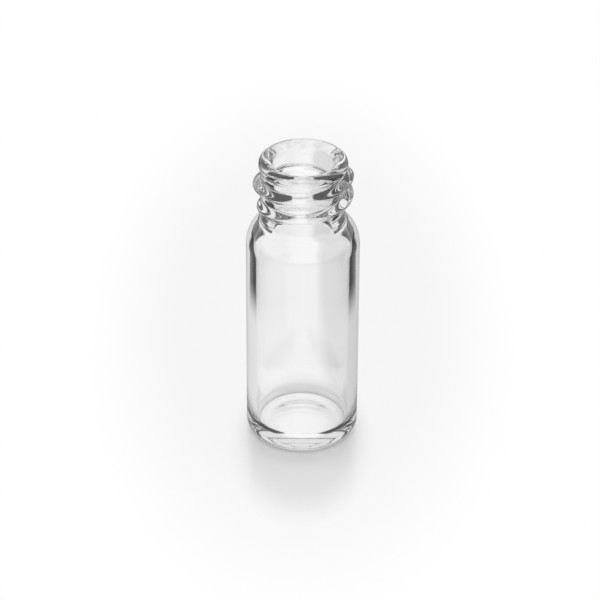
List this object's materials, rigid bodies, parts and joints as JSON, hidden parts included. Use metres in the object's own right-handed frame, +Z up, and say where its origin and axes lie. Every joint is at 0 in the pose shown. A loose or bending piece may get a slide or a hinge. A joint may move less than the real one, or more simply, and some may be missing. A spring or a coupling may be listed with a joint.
{
  "type": "glass sample vial",
  "caption": "Small clear glass sample vial with a screw-thread neck, rounded shoulder and flat pushed-up base, open at the mouth.",
  "frame": {"origin": "centre of the foot ring, on the surface that the vial stands on", "axes": "+Z up along the vial's axis, out of the mouth; -Y is the front, where the picture was taken from"},
  "size_m": [0.0116, 0.0116, 0.032],
  "materials": {
    "glass": "clear, smooth, fire-polished"
  },
  "bodies": {
    "root": {"vial": "glass"}
  },
  "joints": []
}
